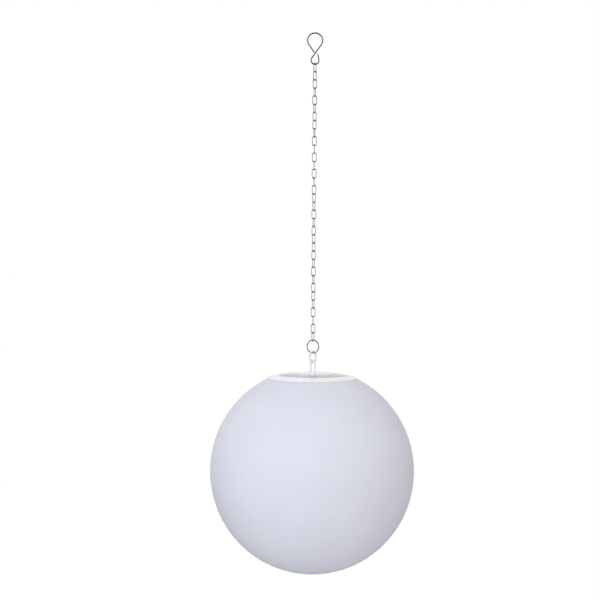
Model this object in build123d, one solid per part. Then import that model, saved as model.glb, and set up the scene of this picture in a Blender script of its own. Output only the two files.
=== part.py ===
from build123d import *
from math import asin, cos, degrees, radians, sin, sqrt
import os

# A solar globe light that hangs on a fine chain. Millimetres, +Z up, seen from -Y.
# The origin is where the hook bears on what holds it: the top of its big loop, on the inside.
# The light hangs straight down the Z axis. Its own parts are drawn about the middle of the globe
# and lowered into place at the end.

# how far a cut runs past the face that it opens, and a root is buried in what carries it
OVERRUN = 1.0

# ---- hook, chain, ring, link and eye ----
HOOK_WIRE = 2.0
HOOK_BIG_RADIUS = 11.1
HOOK_SMALL_RADIUS = 5.8
HOOK_CENTRES = 29.4
HOOK_TIP_REACH = 8.4
HOOK_TIP_TURN = 11.0
LINK_WIRE = 1.4
LINK_LENGTH = 15.0
LINK_WIDTH = 7.3
LINK_COUNT = 34
RING_WIRE = 2.0
RING_OUTER = 21.2
RING_TURN = -28
BIG_LINK_WIRE = 3.0
BIG_LINK_LENGTH = 19.2
BIG_LINK_WIDTH = 12.7
BIG_LINK_TURN = 27
EYE_WIRE = 2.8
EYE_WIDTH = 11.8
EYE_RISE = 17.2
EYE_TURN = -50
HANG_GAP = 0.15
# how far the chain is twisted at a few of its links, in degrees; the links between follow evenly
CHAIN_TWIST = [(1, 55), (5, 8), (10, 88), (15, 82), (19, 12), (26, 72), (28, 60), (31, 8), (34, -32)]

# ---- globe ----
GLOBE_RADIUS = 150.0
GLOBE_WALL = 2.0
NECK_WALL = 2.5
NECK_DEPTH = 14.0
NECK_CLEARANCE = 3.5

# ---- quick thread between globe and housing ----
THREAD_STARTS = 3
THREAD_LEAD = 36.0
THREAD_ARC = 50.0
THREAD_HEIGHT = 2.4
THREAD_GRIP = 2.0
THREAD_GAP = 0.3
THREAD_SLACK = 0.4
THREAD_RISE = 3.0

# ---- cap ----
CAP_RADIUS = 67.0
CAP_DOME = 8.0
CAP_EDGE = 2.4
CAP_FLOOR = 2.0
CAP_GAP = 0.2
BOSS_RADIUS = 31.0
BOSS_SHELL = 2.5
BOSS_SIDE = 4.5
WINDOW_OUTER = 53.0
WINDOW_THICK = 1.5
WINDOW_LEDGE = 2.0
PANEL_BOARD = 1.0
CELL_THICK = 0.4
CELL_COUNT = 8
CELL_GAP = 1.2
GASKET_WIDTH = 4.0
GASKET_INSET = 2.6
CAP_LAP = 2.4
GASKET_THICK = 1.6
FIT = 0.2
RIB_THICK = 1.6
RIB_DEPTH = 4.0
LEAD_HOLE_RADIUS = 3.2
PANEL_LEAD = (15.0, -38.0)

# ---- housing under the cap ----
HOUSING_WALL = 2.3
HOUSING_DEPTH = 26.0
HOUSING_FLOOR = 2.2
SEAL_THICK = 1.0
SCREW_ANGLES = [30, 150, 210, 330]
SCREW_SHANK = 2.9
SCREW_HEAD = 5.6
SCREW_HEAD_HEIGHT = 2.2
SCREW_LENGTH = 14.0
SLOT_WIDTH = 0.7
SLOT_LENGTH = 3.4
SLOT_DEPTH = 0.9
TOWER_RADIUS = 4.2
TOWER_FLOOR = 3.0
TOWER_HEIGHT = 6.0
TOWER_INSET = 4.0
SCREW_RECESS = 4.0
PILLAR_RADIUS = 3.6

# ---- eye fixings ----
PLATE_THICK = 1.6
PLATE_LENGTH = 20.0
PLATE_WIDTH = 9.0
NUT_ACROSS = 5.5
NUT_HEIGHT = 2.4
LEG_END = 1.0

# ---- battery ----
BATTERY_LENGTH = 50.5
BATTERY_RADIUS = 7.15
BATTERY_ROUND = 0.8
NUB_LENGTH = 1.3
NUB_RADIUS = 2.7
POCKET_SIDE = 0.5
POCKET_WALL = 1.6
CONTACT_STRIP = 0.4
CONTACT_WIDTH = 8.0
CONTACT_REACH = 5.0
TAB_RISE = 2.0
SPRING_DEPTH = 4.2
SPRING_TIP_DEPTH = 1.4
DIMPLE_HEIGHT = 0.5
DIMPLE_RADIUS = 2.2
DOOR_THICK = 2.0
DOOR_LAP = 2.5
DOOR_ROUND = 2.0
DOOR_SPACE = 2.65
DOOR_LIP = 1.2
DOOR_LIP_HEIGHT = 2.0
NOTCH_RADIUS = 5.0
NOTCH_DEPTH = 1.2
NOTCH_SET_OUT = 2.0
KNUCKLE_RADIUS = 2.4
PIN_RADIUS = 1.0
DOOR_KNUCKLE = 31.0
HOUSING_KNUCKLE = 8.0

# ---- boards, lamp and switch ----
BOARD_THICK = 1.6
BOARD_LENGTH = 50.0
BOARD_WIDTH = 25.0
BOARD_SPACE = 1.0
BOARD_RISE = 6.0
POST_RADIUS = 2.5
STAKE_RADIUS = 1.0
STAKE_HEAD = 1.8
STAKE_HEAD_HEIGHT = 0.9
POST_INSET = 3.5
LED_BOARD_RADIUS = 12.5
LED_HOLE_RADIUS = 10.4
LED_SIZE = 5.0
LED_HEIGHT = 1.6
LED_CIRCLE = 5.4
LED_COUNT = 4
DIFFUSER_FLANGE = 13.2
DIFFUSER_FLANGE_THICK = 1.4
DIFFUSER_DEPTH = 7.0
DIFFUSER_WALL = 1.2
SWITCH_SIZE = 8.4
SWITCH_HEIGHT = 4.6
SWITCH_ROOF = 0.4
PLUNGER_ROOM = 0.8
BUTTON_RADIUS = 2.5
BUTTON_CAP_RADIUS = 4.0
BUTTON_CAP_HEIGHT = 2.6
BUTTON_ROUND = 0.8
BUTTON_TRAVEL = 2.0
WIRE_RADIUS = 0.6
WIRE_BEND = 3.0
WIRE_SPACING = 2.4
WIRE_RISE = 4.0
WIRE_FALL = 1.0
WIRE_STEP = 5.0
WIRE_ARCH = 6.0
# coil on the board: radius, height and place from the board's middle
COIL = (3.2, 5.0, -13.0, 4.0)
# chip, capacitor and diode: length, width, height and place from the board's middle
BOARD_CHIPS = [(5.0, 4.0, 1.5, -3.0, -5.0), (3.0, 1.6, 0.9, 3.0, 6.0), (2.0, 1.2, 0.7, -5.0, 4.0)]
# where the leads of the cell and of the lamp stand on the board, and those of the lamp on the lamp board
CELL_LEAD = (17.0, 8.0)
LAMP_LEAD = (6.0, 10.0)
LAMP_PAD = (3.0, -7.0)


# ================= heights down the chain =================

hook_top_z = HOOK_WIRE / 2
big_loop_z = hook_top_z - HOOK_BIG_RADIUS
small_loop_z = big_loop_z - HOOK_CENTRES
hook_bottom_z = small_loop_z - HOOK_SMALL_RADIUS


def hung_on(wire_z, wire, own_wire):
    """Height of the top wire of a piece that hangs on another piece's bottom wire."""
    return wire_z + (wire + own_wire) / 2 + HANG_GAP


link_pitch = LINK_LENGTH - 2 * LINK_WIRE - HANG_GAP
first_link_z = hung_on(hook_bottom_z, HOOK_WIRE, LINK_WIRE)
link_tops = [first_link_z - link_pitch * i for i in range(LINK_COUNT)]
last_link_bottom = link_tops[-1] - (LINK_LENGTH - LINK_WIRE)
ring_top_z = hung_on(last_link_bottom, LINK_WIRE, RING_WIRE)
ring_radius = (RING_OUTER - RING_WIRE) / 2
ring_bottom_z = ring_top_z - 2 * ring_radius
big_link_top_z = hung_on(ring_bottom_z, RING_WIRE, BIG_LINK_WIRE)
big_link_bottom_z = big_link_top_z - (BIG_LINK_LENGTH - BIG_LINK_WIRE)
eye_top_z = hung_on(big_link_bottom_z, BIG_LINK_WIRE, EYE_WIRE)
cap_top_z = eye_top_z - EYE_RISE

# ================= rings from the cap's edge inwards: gasket, neck and housing =================

gasket_outer = CAP_RADIUS - CAP_LAP
gasket_inner = gasket_outer - GASKET_WIDTH
neck_bore = gasket_inner - GASKET_INSET
housing_radius = neck_bore - NECK_CLEARANCE
housing_bore = housing_radius - HOUSING_WALL
screw_circle = housing_bore - TOWER_RADIUS - TOWER_INSET

# ================= heights inside the light, over the middle of the globe =================

shoulder_z = sqrt(GLOBE_RADIUS**2 - (CAP_RADIUS + 2 * CAP_GAP) ** 2)
cap_under_z = shoulder_z + CAP_GAP
cap_edge_z = cap_under_z + CAP_EDGE
dome_top_z = cap_edge_z + CAP_DOME
dome_radius = (CAP_RADIUS**2 + CAP_DOME**2) / (2 * CAP_DOME)
dome_centre_z = dome_top_z - dome_radius
recess_z = cap_under_z + CAP_FLOOR
rim_z = cap_under_z - SEAL_THICK
floor_under_z = cap_under_z - HOUSING_DEPTH
floor_top_z = floor_under_z + HOUSING_FLOOR
globe_z = cap_top_z - dome_top_z

door_top_z = floor_under_z - FIT
door_under_z = door_top_z - DOOR_THICK
cell_z = floor_under_z + FIT + BATTERY_RADIUS
pocket_half_width = BATTERY_RADIUS + POCKET_SIDE
pocket_top_z = cell_z + BATTERY_RADIUS + POCKET_SIDE
tab_top_z = pocket_top_z + POCKET_WALL + TAB_RISE
pocket_length = BATTERY_LENGTH + DIMPLE_HEIGHT + 2 * CONTACT_STRIP + SPRING_DEPTH
pocket_half_length = pocket_length / 2
battery_y = DIFFUSER_FLANGE + DOOR_SPACE + DOOR_LAP + pocket_half_width
hinge_y = battery_y + pocket_half_width + DOOR_LAP + KNUCKLE_RADIUS
hinge_z = door_top_z - KNUCKLE_RADIUS
board_y = -(LED_BOARD_RADIUS + BOARD_SPACE + BOARD_WIDTH / 2)
board_z = floor_top_z + BOARD_RISE
board_top_z = board_z + BOARD_THICK
led_board_top_z = floor_top_z + BOARD_THICK
post_places = [
    (sx * (BOARD_LENGTH / 2 - POST_INSET), board_y + sy * (BOARD_WIDTH / 2 - POST_INSET))
    for sx in (-1, 1)
    for sy in (-1, 1)
]
screw_seat_z = floor_under_z + SCREW_RECESS
tower_top_z = screw_seat_z + TOWER_FLOOR + TOWER_HEIGHT - FIT
screw_places = [
    (screw_circle * cos(radians(a)), screw_circle * sin(radians(a))) for a in SCREW_ANGLES
]


# ================= small helpers =================

def rod(radius, low, high, x=0.0, y=0.0):
    """Upright cylinder between two heights."""
    return Pos(x, y, (low + high) / 2) * Cylinder(radius, high - low)


def block(length, width, low, high, x=0.0, y=0.0):
    """Upright box between two heights."""
    return Pos(x, y, (low + high) / 2) * Box(length, width, high - low)


def tube(outer, inner, low, high):
    """Upright ring of rectangular section."""
    return rod(outer, low, high) - rod(inner, low, high)


def across(radius, start, end, y, z):
    """Cylinder along X."""
    return Pos((start + end) / 2, y, z) * Rot(0, 90, 0) * Cylinder(radius, end - start)


def turned(*edges):
    """Solid of revolution about Z of an outline drawn as (radius, height)."""
    face = make_face(Plane.XZ * Curve(list(edges)))
    return revolve(face, Axis.Z)


def wire_along(path, diameter):
    """Round wire swept along a path."""
    section = Plane(origin=path @ 0, z_dir=path % 0) * Circle(diameter / 2)
    return sweep(section, path=path)


def dome_height(radius, sink=0.0):
    """Height of the cap's dome at a radius, or of the same dome set lower by a thickness."""
    return dome_centre_z + sqrt((dome_radius - sink) ** 2 - radius**2)


def dome_solid(outer, low, sink=0.0):
    """Solid under the dome, out to a radius and down to a height."""
    top = dome_height(0, sink)
    middle = outer / 2
    return turned(
        Line((0, low), (0, top)),
        ThreePointArc((0, top), (middle, dome_height(middle, sink)), (outer, dome_height(outer, sink))),
        Line((outer, dome_height(outer, sink)), (outer, low)),
        Line((outer, low), (0, low)),
    )


# ================= hook, chain, ring, link and eye =================

def hook():
    """Figure-eight hook: two loops joined by a crossing shank, each end stopping short of it."""
    slope = asin((HOOK_BIG_RADIUS + HOOK_SMALL_RADIUS) / HOOK_CENTRES)
    tilt = degrees(slope)
    cross_z = big_loop_z - HOOK_BIG_RADIUS / sin(slope)
    # tangent points of the crossing shank on the big loop and on the small one
    big_x = HOOK_BIG_RADIUS * cos(slope)
    big_z = big_loop_z - HOOK_BIG_RADIUS * sin(slope)
    small_x = HOOK_SMALL_RADIUS * cos(slope)
    small_z = small_loop_z + HOOK_SMALL_RADIUS * sin(slope)
    # the big loop's end clears the shank by the hanging gap
    clear = (HOOK_WIRE * (1 + cos(2 * slope)) / 2 + HANG_GAP) / sin(2 * slope)
    end = (-clear * sin(slope), cross_z + clear * cos(slope))
    # the small loop's end leaves the loop on a tangent and points at the shank
    leave = (
        HOOK_SMALL_RADIUS * cos(radians(HOOK_TIP_TURN)),
        small_loop_z + HOOK_SMALL_RADIUS * sin(radians(HOOK_TIP_TURN)),
    )
    tip = (
        leave[0] - HOOK_TIP_REACH * sin(radians(HOOK_TIP_TURN)),
        leave[1] + HOOK_TIP_REACH * cos(radians(HOOK_TIP_TURN)),
    )
    path = Plane.XZ * Curve([
        Line(end, (-big_x, big_z)),
        CenterArc((0, big_loop_z), HOOK_BIG_RADIUS, 180 + tilt, -(180 + 2 * tilt)),
        Line((big_x, big_z), (-small_x, small_z)),
        CenterArc((0, small_loop_z), HOOK_SMALL_RADIUS, 180 - tilt, 180 + tilt + HOOK_TIP_TURN),
        Line(leave, tip),
    ])
    return wire_along(Wire(path.edges()), HOOK_WIRE)


def oval_link(length, width, wire):
    """Welded oval link, face towards Y, its top wire at height 0."""
    bend = (width - wire) / 2
    straight = length - width
    path = Plane.XZ * Curve([
        Line((bend, -bend - straight), (bend, -bend)),
        CenterArc((0, -bend), bend, 0, 180),
        Line((-bend, -bend), (-bend, -bend - straight)),
        CenterArc((0, -bend - straight), bend, 180, 180),
    ])
    return wire_along(Wire(path.edges()), wire)


def twist_of(number):
    """Twist of the chain at a link, between the two stations on either side."""
    for (low, start), (high, end) in zip(CHAIN_TWIST, CHAIN_TWIST[1:]):
        if low <= number <= high:
            return start + (end - start) * (number - low) / (high - low)
    return CHAIN_TWIST[-1][1]


def link_turn(number):
    """Heading of a link's face: a quarter turn from the link above, and the twist."""
    return (90 * (number - 1) + twist_of(number)) % 180


def chain_link(number):
    return Pos(0, 0, link_tops[number - 1]) * Rot(0, 0, link_turn(number)) * oval_link(
        LINK_LENGTH, LINK_WIDTH, LINK_WIRE
    )


def hanging_ring():
    return Pos(0, 0, ring_top_z - ring_radius) * Rot(0, 0, RING_TURN) * Rot(90, 0, 0) * Torus(
        ring_radius, RING_WIRE / 2
    )


def hanging_link():
    return Pos(0, 0, big_link_top_z) * Rot(0, 0, BIG_LINK_TURN) * oval_link(
        BIG_LINK_LENGTH, BIG_LINK_WIDTH, BIG_LINK_WIRE
    )


eye_bend = (EYE_WIDTH - EYE_WIRE) / 2
plate_top_z = dome_height(PLATE_LENGTH / 2, BOSS_SHELL)
nut_top_z = plate_top_z - PLATE_THICK
eye_foot_z = nut_top_z - NUT_HEIGHT - LEG_END


def hanging_eye():
    """U-shaped eye: two legs through the boss, one bend over them."""
    top = dome_top_z + EYE_RISE
    path = Plane.XZ * Curve([
        Line((eye_bend, eye_foot_z), (eye_bend, top - eye_bend)),
        CenterArc((0, top - eye_bend), eye_bend, 0, 180),
        Line((-eye_bend, top - eye_bend), (-eye_bend, eye_foot_z)),
    ])
    return Rot(0, 0, EYE_TURN) * wire_along(Wire(path.edges()), EYE_WIRE)


def eye_legs(radius, low, high):
    """A pair of upright cylinders where the eye's legs stand."""
    pair = rod(radius, low, high, eye_bend) + rod(radius, low, high, -eye_bend)
    return Rot(0, 0, EYE_TURN) * pair


def eye_plate():
    plate = Rot(0, 0, EYE_TURN) * block(PLATE_LENGTH, PLATE_WIDTH, nut_top_z, plate_top_z)
    return plate - eye_legs(EYE_WIRE / 2 + FIT / 2, nut_top_z - OVERRUN, plate_top_z + OVERRUN)


def eye_nuts():
    nuts = []
    for side in (-1, 1):
        hexagon = Pos(side * eye_bend, 0, nut_top_z - NUT_HEIGHT) * extrude(
            RegularPolygon(NUT_ACROSS / 2, 6, major_radius=False), NUT_HEIGHT
        )
        low = nut_top_z - NUT_HEIGHT - OVERRUN
        bore = rod(EYE_WIRE / 2 + FIT / 4, low, nut_top_z + OVERRUN, side * eye_bend)
        nuts.append(Rot(0, 0, EYE_TURN) * (hexagon - bore))
    return nuts


# ================= cap =================

def top_cover():
    """Domed cover: centre boss for the eye, ring recess for the panel, flange over the globe."""
    above = dome_top_z + OVERRUN
    cover = dome_solid(CAP_RADIUS, cap_under_z)
    cover -= tube(WINDOW_OUTER, BOSS_RADIUS, recess_z, above) - dome_solid(
        WINDOW_OUTER, recess_z - OVERRUN, WINDOW_THICK + FIT / 2
    )
    cover -= tube(WINDOW_OUTER - WINDOW_LEDGE, BOSS_RADIUS + WINDOW_LEDGE, recess_z, above)
    cover -= dome_solid(BOSS_RADIUS + WINDOW_LEDGE - BOSS_SIDE, cap_under_z - OVERRUN, BOSS_SHELL)
    # flat seat for the backing plate, and the holes for the eye's legs
    cover -= Rot(0, 0, EYE_TURN) * block(
        PLATE_LENGTH + 2 * FIT, PLATE_WIDTH + 2 * FIT, cap_under_z, plate_top_z
    )
    cover -= eye_legs(EYE_WIRE / 2 + FIT / 2, plate_top_z - OVERRUN, above)
    # groove for the gasket
    groove_top = shoulder_z + GASKET_THICK
    cover -= tube(gasket_outer + FIT, gasket_inner - FIT, cap_under_z - OVERRUN, groove_top)
    # locating rib inside the housing's wall, and pillars that take the screws
    rib_outer = housing_bore - FIT
    cover += tube(rib_outer, rib_outer - RIB_THICK, cap_under_z - RIB_DEPTH, cap_under_z)
    foot = tower_top_z + FIT
    for x, y in screw_places:
        cover += rod(PILLAR_RADIUS, foot, cap_under_z + OVERRUN / 2, x, y)
        cover -= rod(SCREW_SHANK / 2 + FIT / 4, foot - OVERRUN, foot + SCREW_LENGTH, x, y)
    cover -= rod(LEAD_HOLE_RADIUS, cap_under_z - OVERRUN, recess_z + OVERRUN, *PANEL_LEAD)
    rims = cover.edges().filter_by(GeomType.CIRCLE).filter_by(
        lambda edge: abs(edge.radius - CAP_RADIUS) < FIT / 2
    )
    return fillet(rims.sort_by(Axis.Z)[-1], CAP_EDGE / 3)


def panel_window():
    """Clear ring, flush with the dome, on the ledges of the recess."""
    ring = tube(WINDOW_OUTER - FIT, BOSS_RADIUS + FIT, recess_z, dome_top_z + OVERRUN)
    low = recess_z - OVERRUN
    return ring & (dome_solid(WINDOW_OUTER, low) - dome_solid(WINDOW_OUTER, low, WINDOW_THICK))


def solar_panel():
    """Ring board with its cells in sectors, each a thin plate lying on the board."""
    inner = BOSS_RADIUS + WINDOW_LEDGE + FIT
    outer = WINDOW_OUTER - WINDOW_LEDGE - FIT
    board_top = recess_z + PANEL_BOARD
    board = tube(outer, inner, recess_z, board_top)
    cells = tube(outer - CELL_GAP, inner + CELL_GAP, board_top, board_top + CELL_THICK)
    for i in range(CELL_COUNT):
        cells -= Rot(0, 0, 360 * (i + 0.5) / CELL_COUNT) * block(
            outer, CELL_GAP, recess_z, dome_top_z, outer / 2
        )
    return [board] + list(cells.solids())


def cover_seal():
    return tube(housing_radius, housing_bore + FIT / 2, rim_z, cap_under_z)


def neck_gasket():
    return tube(gasket_outer, gasket_inner, shoulder_z, shoulder_z + GASKET_THICK)


# ================= globe and its thread =================

thread_z = shoulder_z - NECK_DEPTH + THREAD_RISE
housing_thread_outer = neck_bore - THREAD_GAP - THREAD_SLACK
globe_thread_inner = housing_thread_outer - THREAD_GRIP


def thread_ribs(inner, outer, base):
    """Equal helical ribs round the Z axis, between two radii, rising from a height."""
    middle = (inner + outer) / 2
    path = Helix(THREAD_LEAD, THREAD_LEAD * THREAD_ARC / 360, middle)
    section = Plane.XZ * Pos(middle, THREAD_HEIGHT / 2) * Rectangle(outer - inner, THREAD_HEIGHT)
    rib = sweep(section, path=path, is_frenet=True)
    return [Rot(0, 0, 360 * i / THREAD_STARTS) * Pos(0, 0, base) * rib for i in range(THREAD_STARTS)]


def globe():
    """Blow-moulded sphere with a flat shoulder, and a neck turned inwards with its thread."""
    inner = GLOBE_RADIUS - GLOBE_WALL
    shoulder_r = sqrt(GLOBE_RADIUS**2 - shoulder_z**2)
    under_z = shoulder_z - GLOBE_WALL
    under_r = sqrt(inner**2 - under_z**2)
    neck_z = shoulder_z - NECK_DEPTH
    shell = turned(
        ThreePointArc((0, -GLOBE_RADIUS), (GLOBE_RADIUS, 0), (shoulder_r, shoulder_z)),
        Line((shoulder_r, shoulder_z), (neck_bore, shoulder_z)),
        Line((neck_bore, shoulder_z), (neck_bore, neck_z)),
        Line((neck_bore, neck_z), (neck_bore + NECK_WALL, neck_z)),
        Line((neck_bore + NECK_WALL, neck_z), (neck_bore + NECK_WALL, under_z)),
        Line((neck_bore + NECK_WALL, under_z), (under_r, under_z)),
        ThreePointArc((under_r, under_z), (inner, 0), (0, -inner)),
        Line((0, -inner), (0, -GLOBE_RADIUS)),
    )
    for rib in thread_ribs(globe_thread_inner, neck_bore + NECK_WALL / 2, thread_z + THREAD_GAP):
        shell += rib
    return shell


# ================= housing =================

def battery_pocket(shape):
    """Adds the battery pocket to the housing: four walls and a ceiling, open below."""
    shape += block(
        pocket_length + 2 * POCKET_WALL,
        2 * (pocket_half_width + POCKET_WALL),
        floor_top_z - OVERRUN,
        pocket_top_z + POCKET_WALL,
        0,
        battery_y,
    )
    low = floor_under_z - OVERRUN
    shape -= block(pocket_length, 2 * pocket_half_width, low, pocket_top_z, 0, battery_y)
    # slots for the contacts' solder tabs
    for side in (-1, 1):
        shape -= block(
            CONTACT_STRIP + 2 * FIT,
            CONTACT_WIDTH + 2 * FIT,
            pocket_top_z - OVERRUN,
            pocket_top_z + POCKET_WALL + OVERRUN,
            side * (pocket_half_length - CONTACT_STRIP / 2 - FIT),
            battery_y,
        )
    return shape


def housing_knuckles():
    """Two hinge knuckles under the floor, each on its own block."""
    low = DOOR_KNUCKLE / 2 + FIT
    out = []
    for side in (-1, 1):
        start, end = sorted((side * low, side * (low + HOUSING_KNUCKLE)))
        knuckle = across(KNUCKLE_RADIUS, start, end, hinge_y, hinge_z)
        middle = (start + end) / 2
        knuckle += block(
            end - start, 2 * KNUCKLE_RADIUS, hinge_z, floor_top_z - OVERRUN, middle, hinge_y
        )
        bore = across(PIN_RADIUS + FIT / 2, start - OVERRUN, end + OVERRUN, hinge_y, hinge_z)
        out.append(knuckle - bore)
    return out


def lamp_housing():
    """Cup under the cap: thread outside, battery pocket, board posts and screw towers inside."""
    below = floor_under_z - OVERRUN
    root_z = floor_top_z - OVERRUN
    cup = rod(housing_radius, floor_under_z, rim_z)
    cup -= rod(housing_bore, floor_top_z, rim_z + OVERRUN)
    for rib in thread_ribs(
        housing_radius - HOUSING_WALL / 2, housing_thread_outer, thread_z - THREAD_HEIGHT
    ):
        cup += rib
    cup = battery_pocket(cup)
    for x, y in screw_places:
        cup += rod(TOWER_RADIUS, root_z, tower_top_z, x, y)
        cup -= rod(SCREW_HEAD / 2 + FIT, below, screw_seat_z, x, y)
        cup -= rod(SCREW_SHANK / 2 + FIT, screw_seat_z - OVERRUN, tower_top_z + OVERRUN, x, y)
    for x, y in post_places:
        cup += rod(POST_RADIUS, root_z, board_z, x, y)
        cup += rod(STAKE_RADIUS, board_z - OVERRUN, board_top_z + STAKE_HEAD_HEIGHT, x, y)
        cup += rod(STAKE_HEAD, board_top_z, board_top_z + STAKE_HEAD_HEIGHT, x, y)
    cup -= rod(LED_HOLE_RADIUS, below, floor_top_z + OVERRUN)
    cup -= rod(BUTTON_RADIUS + 2 * FIT, below, floor_top_z + OVERRUN, 0, board_y)
    for knuckle in housing_knuckles():
        cup += knuckle
    return cup


def cover_screws():
    """Pan-head screws, driven up from below, each with a cross slot."""
    head_z = screw_seat_z - SCREW_HEAD_HEIGHT
    out = []
    for x, y in screw_places:
        head = rod(SCREW_HEAD / 2, head_z, screw_seat_z, x, y)
        head = fillet(head.edges().group_by(Axis.Z)[0], SCREW_HEAD_HEIGHT / 3)
        screw = head + rod(SCREW_SHANK / 2, screw_seat_z, screw_seat_z + SCREW_LENGTH, x, y)
        for turn in (0, 90):
            slot = block(SLOT_WIDTH, SLOT_LENGTH, head_z - OVERRUN, head_z + SLOT_DEPTH)
            screw -= Pos(x, y, 0) * Rot(0, 0, turn) * slot
        out.append(screw)
    return out


# ================= battery, contacts and door =================

def battery_cell():
    end = pocket_half_length - CONTACT_STRIP - DIMPLE_HEIGHT
    shoulder = end - NUB_LENGTH
    start = end - BATTERY_LENGTH
    can = across(BATTERY_RADIUS, start, shoulder, battery_y, cell_z)
    can = fillet(can.edges().filter_by(GeomType.CIRCLE), BATTERY_ROUND)
    return can + across(NUB_RADIUS, shoulder - OVERRUN / 2, end, battery_y, cell_z)


def contact_plate():
    """Strip on the end wall with a dimple that touches the cell's nub."""
    face = pocket_half_length - CONTACT_STRIP
    low = cell_z - CONTACT_REACH
    strip = block(CONTACT_STRIP, CONTACT_WIDTH, low, tab_top_z, face + CONTACT_STRIP / 2, battery_y)
    return strip + across(DIMPLE_RADIUS, face - DIMPLE_HEIGHT, face + FIT / 2, battery_y, cell_z)


def contact_spring():
    """Leaf spring: a strip on the end wall, folded back to press on the cell."""
    back = CONTACT_STRIP / 2 - pocket_half_length
    front = back + SPRING_DEPTH
    foot = (back, cell_z - CONTACT_REACH)
    leaf = Curve([
        Line((back, tab_top_z - CONTACT_STRIP / 2), foot),
        Line(foot, (front, cell_z)),
        Line((front, cell_z), (back + SPRING_TIP_DEPTH, cell_z + CONTACT_REACH)),
    ])
    outline = make_face(offset(Plane.XZ * leaf, CONTACT_STRIP / 2).edges())
    return Pos(0, battery_y, 0) * extrude(outline, CONTACT_WIDTH / 2, both=True)


def battery_door():
    """Flat door with a lip inside the pocket's mouth, hinged along its far edge."""
    half_length = pocket_half_length + DOOR_LAP
    near = battery_y - pocket_half_width - DOOR_LAP
    far = hinge_y - KNUCKLE_RADIUS - FIT
    door = block(2 * half_length, far - near, door_under_z, door_top_z, 0, (near + far) / 2)
    door = fillet(door.edges().filter_by(Axis.Z), DOOR_ROUND)
    # tongue and knuckle between the housing's knuckles
    root = far - OVERRUN
    door += block(
        DOOR_KNUCKLE, hinge_y - root, door_under_z, door_top_z, 0, (hinge_y + root) / 2
    )
    door += across(KNUCKLE_RADIUS, -DOOR_KNUCKLE / 2, DOOR_KNUCKLE / 2, hinge_y, hinge_z)
    door -= across(PIN_RADIUS + FIT / 2, -DOOR_KNUCKLE, DOOR_KNUCKLE, hinge_y, hinge_z)
    # lip: one bar near the free edge and one at each end
    lip_low = door_top_z - OVERRUN / 2
    lip_top = door_top_z + DOOR_LIP_HEIGHT
    lip_y = battery_y - pocket_half_width + 2 * FIT + DOOR_LIP / 2
    lip_x = pocket_half_length - 2 * FIT - DOOR_LIP / 2
    door += block(2 * lip_x + DOOR_LIP, DOOR_LIP, lip_low, lip_top, 0, lip_y)
    for side in (-1, 1):
        middle = lip_y + BATTERY_RADIUS / 2
        door += block(DOOR_LIP, BATTERY_RADIUS, lip_low, lip_top, side * lip_x, middle)
    # finger notch in the free edge
    notch_top = door_under_z + NOTCH_DEPTH
    door -= rod(NOTCH_RADIUS, door_under_z - OVERRUN, notch_top, 0, near - NOTCH_SET_OUT)
    return door


def door_pin():
    reach = DOOR_KNUCKLE / 2 + FIT + HOUSING_KNUCKLE
    return across(PIN_RADIUS, -reach, reach, hinge_y, hinge_z)


# ================= boards, lamp, switch and leads =================

def circuit_board():
    """Board on four posts, with its coil, chip, capacitor and diode lying on it."""
    board = block(BOARD_LENGTH, BOARD_WIDTH, board_z, board_top_z, 0, board_y)
    for x, y in post_places:
        board -= rod(STAKE_RADIUS + FIT / 2, board_z - OVERRUN, board_top_z + OVERRUN, x, y)
    radius, height, x, y = COIL
    parts = [board, rod(radius, board_top_z, board_top_z + height, x, board_y + y)]
    for length, width, height, x, y in BOARD_CHIPS:
        parts.append(block(length, width, board_top_z, board_top_z + height, x, board_y + y))
    return parts


def lead(*points):
    """One insulated lead along straight runs joined by arcs."""
    path = FilletPolyline(*points, radius=WIRE_BEND)
    return wire_along(Wire(path.edges()), 2 * WIRE_RADIUS)


def inner_wires():
    """Leads from the panel, the battery contacts and the lamp board to the circuit board."""
    x, y = PANEL_LEAD
    knee_z = (board_top_z + recess_z) / 2
    knee_y = y + 2 * WIRE_BEND + OVERRUN
    out = []
    for shift in (-WIRE_SPACING / 2, WIRE_SPACING / 2):
        out.append(lead(
            (x + shift, y, recess_z), (x + shift, y, knee_z),
            (x + shift, knee_y, knee_z - WIRE_STEP), (x + shift, knee_y, board_top_z),
        ))
    for side in (-1, 1):
        tab_x = side * (pocket_half_length - CONTACT_STRIP / 2)
        drop_x, drop_y = side * CELL_LEAD[0], board_y + CELL_LEAD[1]
        arch_z = tab_top_z + WIRE_RISE
        out.append(lead(
            (tab_x, battery_y, tab_top_z), (tab_x, battery_y, arch_z),
            (drop_x, drop_y, arch_z - WIRE_FALL), (drop_x, drop_y, board_top_z),
        ))
        pad_x, pad_y = side * LAMP_PAD[0], LAMP_PAD[1]
        drop_x, drop_y = side * LAMP_LEAD[0], board_y + LAMP_LEAD[1]
        arch_z = board_top_z + WIRE_ARCH
        out.append(lead(
            (pad_x, pad_y, led_board_top_z), (pad_x, pad_y, arch_z),
            (drop_x, drop_y, arch_z), (drop_x, drop_y, board_top_z),
        ))
    return out


def led_board():
    return rod(LED_BOARD_RADIUS, floor_top_z, led_board_top_z)


def leds():
    out = []
    for i in range(LED_COUNT):
        out.append(Rot(0, 0, 360 * i / LED_COUNT) * block(
            LED_SIZE, LED_SIZE, floor_top_z - LED_HEIGHT, floor_top_z, LED_CIRCLE
        ))
    return out


def bowl(radius, top, tip):
    """Shallow bowl, solid, from a rim radius and height down to a rounded tip."""
    depth = top - tip
    curve = (radius**2 + depth**2) / (2 * depth)
    half = radius / 2
    return turned(
        Line((0, top), (radius, top)),
        ThreePointArc((radius, top), (half, tip + curve - sqrt(curve**2 - half**2)), (0, tip)),
        Line((0, tip), (0, top)),
    )


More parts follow.
